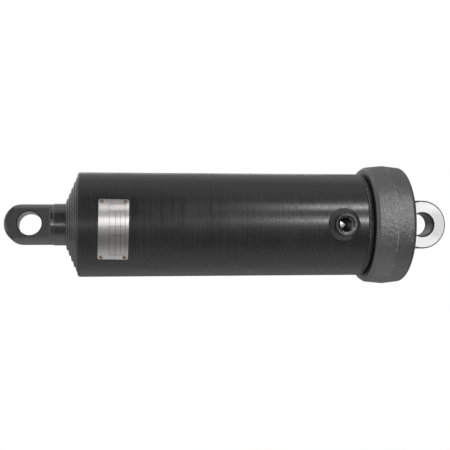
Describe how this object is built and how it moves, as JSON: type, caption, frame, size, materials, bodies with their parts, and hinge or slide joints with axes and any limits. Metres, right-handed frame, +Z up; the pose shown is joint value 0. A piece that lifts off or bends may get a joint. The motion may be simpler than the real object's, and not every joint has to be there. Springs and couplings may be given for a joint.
{
  "type": "telescopic tipping cylinder",
  "caption": "Closed single-acting telescopic hydraulic cylinder with nested sleeves, a cast base eye, a turning plunger eye and a threaded oil port.",
  "frame": {"origin": "centre of the pin bore in the base eye", "axes": "+X along the cylinder from the plunger eye towards the base, +Y along the base eye's pin, away from the side with the oil port and the name plate, +Z up"},
  "size_m": [0.7645, 0.2087, 0.2076],
  "materials": {
    "barrel_paint": "satin black paint on a smooth drawn tube",
    "cast_paint": "thin grey-black paint on a rough sand casting",
    "stage_paint": "gloss black paint on turned steel",
    "plunger_paint": "gloss black paint on turned and milled steel",
    "weld_steel": "painted weld, rippled",
    "plate_steel": "brushed sheet",
    "rivet_steel": "tarnished brown",
    "seal_rubber": "matt black",
    "wiper_rubber": "matt dark grey",
    "guide_polymer": "brown bearing polymer",
    "spring_steel": "bright spring steel"
  },
  "bodies": {
    "barrel": {"barrel_tube": "barrel_paint", "base_cap": "cast_paint", "base_weld": "weld_steel", "port_boss": "barrel_paint", "port_weld": "weld_steel", "name_plate": "plate_steel", "plate_rivets": "rivet_steel", "gland": "stage_paint", "gland_lock_ring": "spring_steel", "gland_o_ring": "seal_rubber", "gland_wiper": "wiper_rubber", "gland_seal": "seal_rubber", "gland_guide_ring": "guide_polymer"},
    "sleeve_1": {"sleeve_1": "stage_paint", "sleeve_1_wiper": "wiper_rubber", "sleeve_1_seal": "seal_rubber", "sleeve_1_guide_ring": "guide_polymer", "sleeve_1_foot_ring": "guide_polymer", "sleeve_1_stop_ring": "spring_steel"},
    "sleeve_2": {"sleeve_2": "stage_paint", "sleeve_2_wiper": "wiper_rubber", "sleeve_2_seal": "seal_rubber", "sleeve_2_guide_ring": "guide_polymer", "sleeve_2_foot_ring": "guide_polymer", "sleeve_2_stop_ring": "spring_steel"},
    "sleeve_3": {"sleeve_3": "stage_paint", "sleeve_3_wiper": "wiper_rubber", "sleeve_3_seal": "seal_rubber", "sleeve_3_guide_ring": "guide_polymer", "sleeve_3_foot_ring": "guide_polymer", "sleeve_3_stop_ring": "spring_steel"},
    "sleeve_4": {"sleeve_4": "stage_paint", "sleeve_4_wiper": "wiper_rubber", "sleeve_4_seal": "seal_rubber", "sleeve_4_guide_ring": "guide_polymer", "sleeve_4_foot_ring": "guide_polymer", "sleeve_4_stop_ring": "spring_steel"},
    "plunger_foot": {"plunger_foot_ring": "guide_polymer", "plunger_stop_ring": "spring_steel"},
    "plunger": {"plunger_tube": "plunger_paint", "plunger_weld": "plunger_paint", "plunger_eye": "plunger_paint"}
  },
  "joints": [
    {"name": "sleeve_1_slide", "type": "slide", "parent": "barrel", "child": "sleeve_1", "axis": [-1, 0, 0], "range_m": [0, 0.35]},
    {"name": "sleeve_2_slide", "type": "slide", "parent": "sleeve_1", "child": "sleeve_2", "axis": [-1, 0, 0], "range_m": [0, 0.354]},
    {"name": "sleeve_3_slide", "type": "slide", "parent": "sleeve_2", "child": "sleeve_3", "axis": [-1, 0, 0], "range_m": [0, 0.358]},
    {"name": "sleeve_4_slide", "type": "slide", "parent": "sleeve_3", "child": "sleeve_4", "axis": [-1, 0, 0], "range_m": [0, 0.362]},
    {"name": "plunger_slide", "type": "slide", "parent": "sleeve_4", "child": "plunger_foot", "axis": [-1, 0, 0], "range_m": [0, 0.366]},
    {"name": "plunger_turn", "type": "hinge", "parent": "plunger_foot", "child": "plunger", "pos_m": [-0.68, 0, 0], "axis": [1, 0, 0], "continuous": true}
  ]
}
